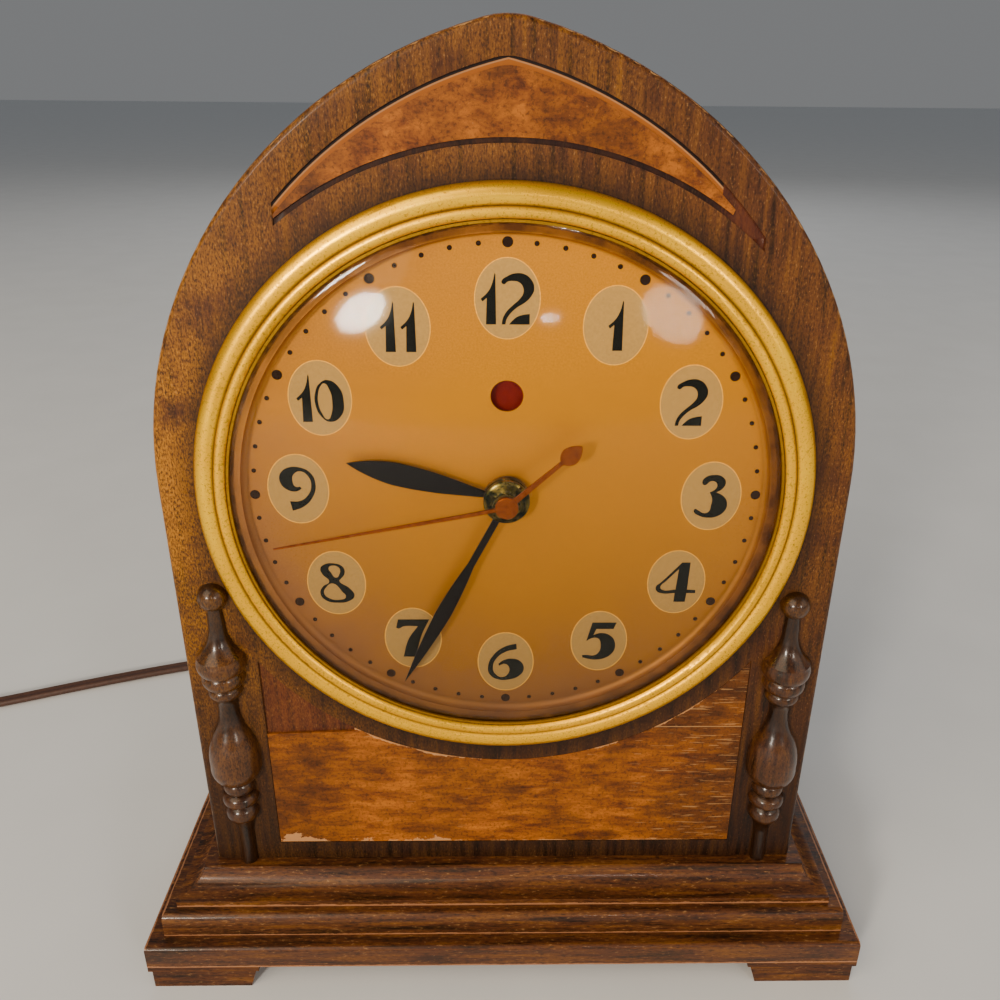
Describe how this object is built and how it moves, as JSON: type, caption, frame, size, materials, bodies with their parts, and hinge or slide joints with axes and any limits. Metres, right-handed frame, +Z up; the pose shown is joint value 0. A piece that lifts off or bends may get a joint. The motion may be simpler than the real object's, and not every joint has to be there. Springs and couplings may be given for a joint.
{
  "type": "electric mantel clock",
  "caption": "Electric mantel clock in a lancet-arch walnut case with split spindles, a round gilt bezel, gilt dial with oval numbers, sweep second hand, and a flat cord.",
  "frame": {"origin": "on the floor under the middle of the plinth", "axes": "+Z up, the dial faces -Y, +X to the right seen from the front"},
  "size_m": [0.3976, 0.1797, 0.2636],
  "materials": {
    "board_walnut": "satin",
    "burl_veneer": "satin",
    "turned_wood": "gloss",
    "inner_wood": "matte",
    "cover_board": "matte",
    "gilt_brass": "gloss",
    "dial_lacquer": "satin",
    "dial_glass": "clear",
    "aged_brass": "satin",
    "wheel_brass": "satin",
    "bright_steel": "satin",
    "hand_enamel": "satin",
    "copper_enamel": "satin",
    "flag_enamel": "matte",
    "core_iron": "matte",
    "bobbin_resin": "matte",
    "winding_wrap": "matte",
    "rotor_metal": "satin",
    "knob_resin": "gloss",
    "cord_rubber": "matte",
    "plug_resin": "matte"
  },
  "bodies": {
    "case": {"plinth_bottom_board": "board_walnut", "plinth_middle_board": "board_walnut", "plinth_top_moulding": "board_walnut", "foot_front_left": "board_walnut", "foot_front_right": "board_walnut", "foot_rear_left": "board_walnut", "foot_rear_right": "board_walnut", "case_front_board": "board_walnut", "case_arch_band": "board_walnut", "glue_blocks": "inner_wood", "rear_cleats": "inner_wood", "rear_cover": "cover_board", "rear_cover_screws": "aged_brass", "veneer_crescent": "burl_veneer", "veneer_panel": "burl_veneer", "spindle_left": "turned_wood", "spindle_right": "turned_wood", "bezel": "gilt_brass", "crystal_glass": "dial_glass", "crystal_retaining_ring": "gilt_brass", "dial_plate": "dial_lacquer", "dial_screws": "aged_brass", "dial_nut": "aged_brass", "centre_bush": "aged_brass", "front_plate": "wheel_brass", "back_plate": "wheel_brass", "pillars": "bright_steel", "pillar_screws": "bright_steel", "rotor_can": "rotor_metal", "field_core": "core_iron", "field_screws": "bright_steel", "coil_bobbin": "bobbin_resin", "coil_winding": "winding_wrap", "cord_grommet": "cord_rubber", "cord_strain_relief": "cord_rubber", "cord_inner_lead": "cord_rubber", "cord_free": "cord_rubber", "cord_coil": "cord_rubber", "plug_body": "plug_resin", "plug_blades": "aged_brass"},
    "hour": {"hour_wheel": "wheel_brass", "hour_hand": "hand_enamel", "hour_hand_collet": "aged_brass"},
    "minute": {"cannon_pinion": "bright_steel", "clutch_spring": "bright_steel", "clutch_collet": "aged_brass", "minute_hand": "hand_enamel", "minute_hand_collet": "aged_brass"},
    "minute_wheel_body": {"minute_wheel": "wheel_brass"},
    "setting": {"set_arbor": "bright_steel", "set_knob": "knob_resin"},
    "second": {"second_arbor": "bright_steel", "second_hand": "copper_enamel", "second_hand_boss": "aged_brass"},
    "rotor": {"rotor_pinion": "bright_steel"},
    "intermediate": {"intermediate_arbor": "wheel_brass"},
    "clutch": {"clutch_wheel": "wheel_brass"},
    "indicator": {"indicator_lever": "flag_enamel"}
  },
  "joints": [
    {"name": "minute_turn", "type": "hinge", "parent": "case", "child": "minute", "pos_m": [0, 0, 0.1536], "axis": [0, 1, 0], "continuous": true},
    {"name": "hour_turn", "type": "hinge", "parent": "case", "child": "hour", "pos_m": [0, 0, 0.1536], "axis": [0, 1, 0], "continuous": true},
    {"name": "minute_wheel_turn", "type": "hinge", "parent": "case", "child": "minute_wheel_body", "pos_m": [0, 0, 0.1416], "axis": [0, 1, 0], "continuous": true},
    {"name": "setting_turn", "type": "hinge", "parent": "case", "child": "setting", "pos_m": [0, 0, 0.1296], "axis": [0, 1, 0], "continuous": true},
    {"name": "second_turn", "type": "hinge", "parent": "case", "child": "second", "pos_m": [0, 0, 0.1536], "axis": [0, 1, 0], "continuous": true},
    {"name": "intermediate_turn", "type": "hinge", "parent": "case", "child": "intermediate", "pos_m": [0.0106, 0, 0.15972], "axis": [0, 1, 0], "continuous": true},
    {"name": "clutch_turn", "type": "hinge", "parent": "case", "child": "clutch", "pos_m": [0, 0, 0.1536], "axis": [0, 1, 0], "continuous": true},
    {"name": "rotor_turn", "type": "hinge", "parent": "case", "child": "rotor", "pos_m": [-0.00996, 0, 0.15935], "axis": [0, 1, 0], "continuous": true},
    {"name": "indicator_swing", "type": "hinge", "parent": "case", "child": "indicator", "pos_m": [0.018, 0, 0.1676], "axis": [0, 1, 0], "range_deg": [-25, 0]}
  ],
  "couplings": [
    {"joint": "hour_turn", "follows": "minute_turn", "ratio": 0.083333},
    {"joint": "minute_wheel_turn", "follows": "minute_turn", "ratio": -0.33333},
    {"joint": "setting_turn", "follows": "minute_turn", "ratio": 1},
    {"joint": "intermediate_turn", "follows": "second_turn", "ratio": -0.125},
    {"joint": "clutch_turn", "follows": "second_turn", "ratio": 0.016667},
    {"joint": "rotor_turn", "follows": "second_turn", "ratio": -3.6}
  ]
}
